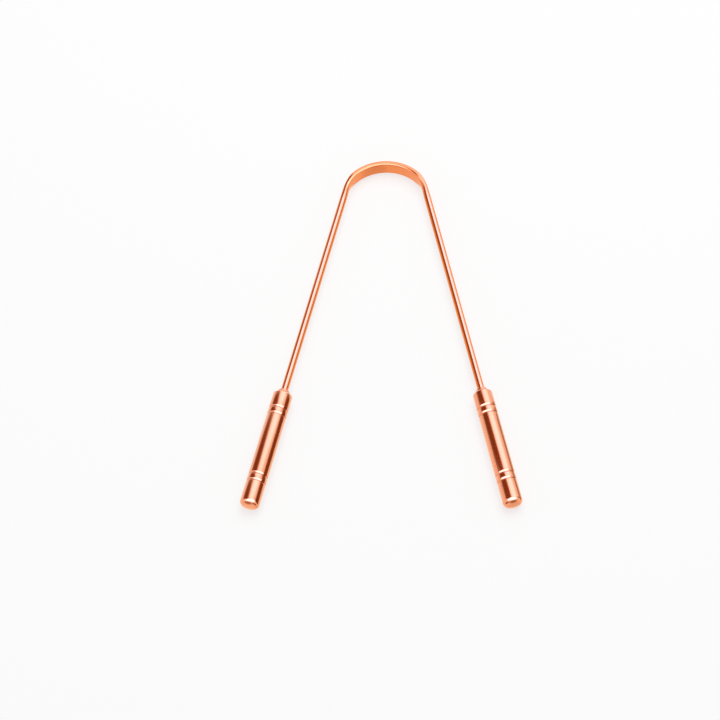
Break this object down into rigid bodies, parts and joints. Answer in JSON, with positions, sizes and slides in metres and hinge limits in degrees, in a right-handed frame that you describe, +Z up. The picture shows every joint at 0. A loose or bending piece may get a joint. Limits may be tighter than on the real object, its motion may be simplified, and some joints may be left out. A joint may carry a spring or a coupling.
{
  "type": "tongue scraper",
  "caption": "Copper tongue scraper: a flat curved blade that tapers into springy wire arms, each seated in a solid turned bar handle with ring grooves and a domed end.",
  "frame": {"origin": "middle of the part's length and width, on the table that it lies on", "axes": "+Y along the length towards the blade, +X towards the right handle, +Z up from the table"},
  "size_m": [0.1006, 0.1506, 0.0072],
  "materials": {
    "polished_copper": "polished copper",
    "turned_copper": "satin turned copper"
  },
  "bodies": {
    "root": {"scraper_bow": "polished_copper", "left_handle": "turned_copper", "right_handle": "turned_copper"}
  },
  "joints": []
}
